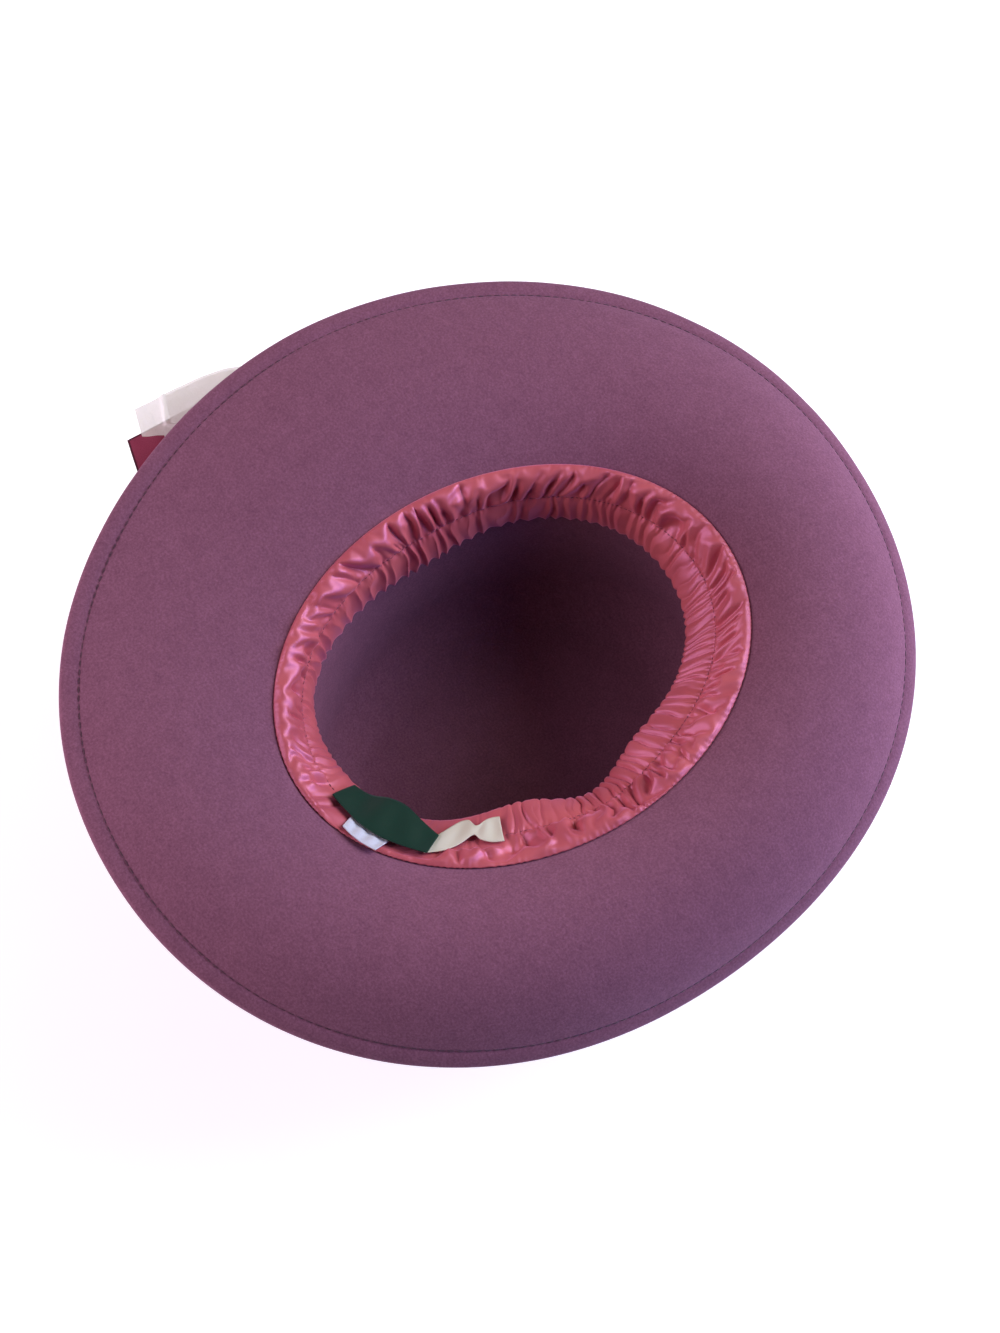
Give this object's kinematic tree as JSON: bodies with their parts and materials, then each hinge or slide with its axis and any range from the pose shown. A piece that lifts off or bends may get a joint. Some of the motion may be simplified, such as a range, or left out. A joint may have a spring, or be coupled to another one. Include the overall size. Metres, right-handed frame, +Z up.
{
  "type": "wide-brim hat",
  "caption": "Wide-brim felt hat lying crown down, with a gathered satin inner band, blank labels, a ribbon round the crown and loose ribbon ends.",
  "frame": {"origin": "middle of the flat face of the crown's tip, on which the hat rests upside down", "axes": "+Z up, out of the head opening; -Y towards the hat's front, +X towards the wearer's right"},
  "size_m": [0.3303, 0.3458, 0.1226],
  "materials": {
    "felt": "mauve wool felt with a short nap",
    "satin": "coral pink satin, gathered",
    "woven_label": "dark green woven label, blank",
    "care_label": "white satin tape, blank",
    "size_label": "cream woven tape, blank",
    "burgundy_ribbon": "burgundy satin ribbon",
    "organza": "ivory organza ribbon, sheer"
  },
  "bodies": {
    "root": {"felt_body": "felt", "inner_band": "satin", "woven_label": "woven_label", "care_label": "care_label", "size_label": "size_label", "hat_band": "burgundy_ribbon", "ribbon_knot": "burgundy_ribbon", "burgundy_ribbon_end": "burgundy_ribbon", "organza_ribbon_end": "organza"}
  },
  "joints": []
}
